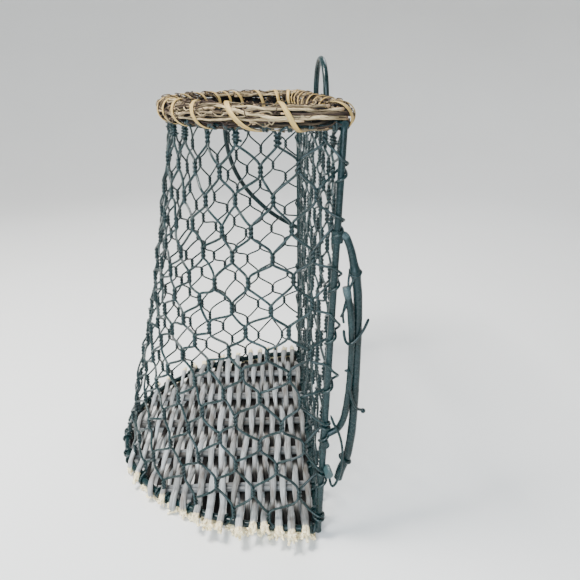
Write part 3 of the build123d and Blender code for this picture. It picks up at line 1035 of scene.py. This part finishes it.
# Middle lines: out from the near rod, up from the base, and forward.
STEM = (
    (2.2, 186), (5, 184.5), (8.2, 177), (10.2, 169.5), (11.4, 164.5), (12.8, 158), (14.2, 147),
    (15.3, 128), (16.2, 98), (16.5, 72), (15.8, 58), (14.3, 48), (11.6, 40.5), (10.1, 34),
)
SIDE_STEM = (
    (6.4, 156.5, 2.2), (7.8, 151, 2.8), (10, 141, 3.2), (11.6, 126, 2.8), (12.4, 108, 1.8),
    (12.4, 92, 1), (11.2, 77, 0.8), (8.2, 68.5, 0.6), (2, 64.5, 0.5),
)
UPPER_TENDRIL = (
    (21, 136.5, 1.2), (18.2, 131.5, 3.4), (14.6, 126.6, 4.8), (10.8, 123.4, 5.4), (8.2, 124.6, 5),
    (7, 128, 4.2), (6.6, 131.5, 3.4),
)
LOWER_TENDRIL = (
    (8.6, 106.5, 3.6), (10.6, 106.3, 4.2), (12.1, 103, 4.4), (12.4, 95, 4.4), (14.2, 88, 4.6),
    (17.6, 82.2, 3.8), (21.6, 79.4, 1.2),
)
BEAD = ((20.6, 79.6, 1.4), (23.2, 78, 0.8))
FOOT_TENDRIL = (
    (2.6, 78, 2.6), (4.6, 73, 3.6), (8, 66.5, 4.4), (10.2, 58, 5.2), (10.6, 47, 5.2),
    (9, 36, 4.2), (6.6, 30.4, 2.4), (5, 34, 0.8), (4.6, 42, 0.4),
)
TWIST_WIRES = (
    ((12, 163.5, 2.4), (10, 160, 2.8), (8, 154, 3.2), (6.6, 147, 2.8), (5.8, 140, 2.2), (6.6, 135, 2)),
    ((9, 164.5, -2.2), (8, 158, 0.4), (8.6, 151, 2.4), (6.4, 144, 3.6), (4.6, 139, 2.6)),
    ((12.8, 166, -2.4), (14.6, 164.4, 1.4), (12, 162.4, 3), (8.6, 163, 1.6), (8.8, 165.2, -2)),
)


def make_stem(rng):
    """The thick member: a long bend with a knuckle near its top."""
    skin = Skin(61)
    line = handle_line(STEM, 150)
    along = lengths(line)
    swelling = bumps(along, (24.5, 2.8, 0.26), (6, 12, -0.2), (150, 10, 0.05))
    radius = STEM_RADIUS * swelling * (1 - 0.0006 * along)
    radius = radius[:, None] * uneven(rng, 16, 0.04)
    radius = radius * (1 + ripple(rng, along, 22, 0.02))[:, None]
    # The pale bare patch where it meets the rod is a painted highlight.
    skin.tube(line, radius, 16, 0.5, np.clip(1.2 - along / 7, 0, 1))
    skin.piece("handle_stem", FRAME_PAINT, "green_paint", "handle_main")


def make_side_stem(rng):
    """The thinner member: it leaves the near rod low down and ends in a bare tip."""
    skin = Skin(62)
    line = handle_line(SIDE_STEM, 110)
    along = lengths(line)
    swelling = bumps(along, (3.0, 4.0, 0.16), (16, 8, 0.14), (78, 8, 0.1))
    radius = SIDE_STEM_RADIUS * swelling * (1 + ripple(rng, along, 15, 0.03))
    skin.tube(line, radius, 12, 0.5, np.clip(1.15 - along / 12, 0, 1))
    skin.piece("handle_side_stem", FRAME_PAINT, "green_paint", "handle_branch")


def make_tendril(name, node, seed, radius, points, bead=()):
    """A thin wire, thinner at both ends, with a round bead at its tip or none."""
    skin = Skin(seed)
    count = 60
    from_end = np.minimum(np.arange(count), np.arange(count)[::-1])
    taper = np.clip(from_end / 3 + 0.45, 0, 1)
    skin.tube(handle_line(points, count), radius * taper, 8, 0.5)
    if bead:
        roundness = np.sqrt(np.clip(1 - np.linspace(-0.98, 0.98, 9) ** 2, 0, 1))
        skin.tube(handle_line(bead, 9), BEAD_RADIUS * roundness, 10, 0.5)
    skin.piece(name, FRAME_PAINT, "green_paint", node)


def make_twist_wires():
    """Three thin wires wound round the two members below the knuckle. No CAD node stands for them."""
    skin = Skin(70)
    for points in TWIST_WIRES:
        skin.tube(handle_line(points, 40), TWIST_WIRE, 8, 0.5)
    skin.piece("handle_twist_wires", FRAME_PAINT, "green_paint")


def make_handle():
    """The handle's two members, its tendrils and the wires wound round it."""
    rng = Random(5)
    make_stem(rng)
    make_side_stem(rng)
    make_tendril("tendril_wire_upper", "tendril_upper", 18, TENDRIL_RADIUS, UPPER_TENDRIL)
    make_tendril("tendril_wire_lower", "tendril_lower", 18, TENDRIL_RADIUS, LOWER_TENDRIL, BEAD)
    make_tendril("tendril_wire_foot", "tendril_foot", 17, FOOT_TENDRIL_RADIUS, FOOT_TENDRIL)
    make_twist_wires()


# ---- carried-over wires
def paint_frame():
    """The CAD nodes that keep their shape get the painted finishes."""
    names = (
        "base_back_wire", "base_bow_wire", "rim_back_wire", "rim_bow_wire", "side_rod_near",
        "side_rod_far", "hanging_loop", "arc_brace", "handle_binding", "handle_knob",
        "handle_collar", "handle_stub",
    )
    for name in names:
        for material_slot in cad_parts[name].material_slots:
            material_slot.material = PALE_PAINT if name == "handle_stub" else FRAME_PAINT


# ---- stage
def make_floor():
    """A pale floor that curves up into a round wall, open above."""
    bend = np.linspace(0, pi / 2, 16)
    flat = COVE_RADIUS - COVE_BEND
    profile = [(0.0, 0.0)]
    profile += [(flat + COVE_BEND * sin(angle), COVE_BEND * (1 - cos(angle))) for angle in bend]
    profile.append((COVE_RADIUS, COVE_HEIGHT))
    sides = 96
    turns = [2 * pi * number / sides for number in range(sides)]
    points = []
    for reach, z in profile:
        points += [(reach * cos(turn), reach * sin(turn), z) for turn in turns]
    faces = []
    for level in range(len(profile) - 1):
        lower = level * sides
        upper = lower + sides
        for here in range(sides):
            after = (here + 1) % sides
            faces.append((lower + here, lower + after, upper + after, upper + here))
    mesh = bpy.data.meshes.new("floor")
    mesh.from_pydata(points, [], faces)
    mesh.shade_smooth()
    mesh.materials.append(floor_finish())
    new_object("floor", mesh)


def make_light():
    """An even pale sky and soft lamps that the camera doesn't see."""
    world = bpy.data.worlds.new("studio")
    bpy.context.scene.world = world
    world.use_nodes = True
    sky = world.node_tree.nodes["Background"]
    sky.inputs["Color"].default_value = SKY_COLOUR
    sky.inputs["Strength"].default_value = SKY_STRENGTH
    for name, place, width, height, power, colour in LAMPS:
        lamp = bpy.data.lights.new(name, "AREA")
        lamp.shape = "RECTANGLE"
        lamp.size = width
        lamp.size_y = height
        lamp.energy = power
        lamp.color = colour
        light = new_object(name, lamp)
        light.location = place
        light.visible_camera = False
        aim = Vector(LAMP_AIM) - Vector(place)
        light.rotation_euler = aim.to_track_quat("-Z", "Y").to_euler()


def make_camera():
    """The photo's camera, shifted down a little because the photo is cropped at its top."""
    camera = bpy.data.cameras.new("camera")
    camera.lens = CAMERA_LENS
    camera.sensor_width = SENSOR_WIDTH
    camera.shift_y = CAMERA_SHIFT
    camera.clip_start = 0.01
    eye = new_object("camera", camera)
    turn = Matrix.Rotation(radians(CAMERA_HEADING), 4, "Z")
    tilt = Matrix.Rotation(radians(90 + CAMERA_PITCH), 4, "X")
    roll = Matrix.Rotation(radians(CAMERA_ROLL), 4, "Z")
    eye.matrix_world = Matrix.Translation(Vector(to_row(CAMERA_PLACE))) @ turn @ tilt @ roll
    bpy.context.scene.camera = eye


# ---- the whole basket
paint_frame()
make_netting("netting_wires_front", "netting_front", Netting(
    front_wall, FRONT_CELLS, ROW_COUNT, row_shift=0.0, sag=ROW_SAG, seed=11, loops=NEAR_LOOPS
))
make_netting("netting_wires_back", "netting_back", Netting(
    back_wall, BACK_CELLS, ROW_COUNT - 1, row_shift=0.5, sag=0.0, seed=12, loops={}
))
for weaver_row in range(WEAVER_COUNT):
    make_weaver(weaver_row)
for stake_number in range(1, STAKE_COUNT + 1):
    make_stake(stake_number)
make_twig_rim()
make_cane()
make_handle()
make_floor()
make_light()
make_camera()
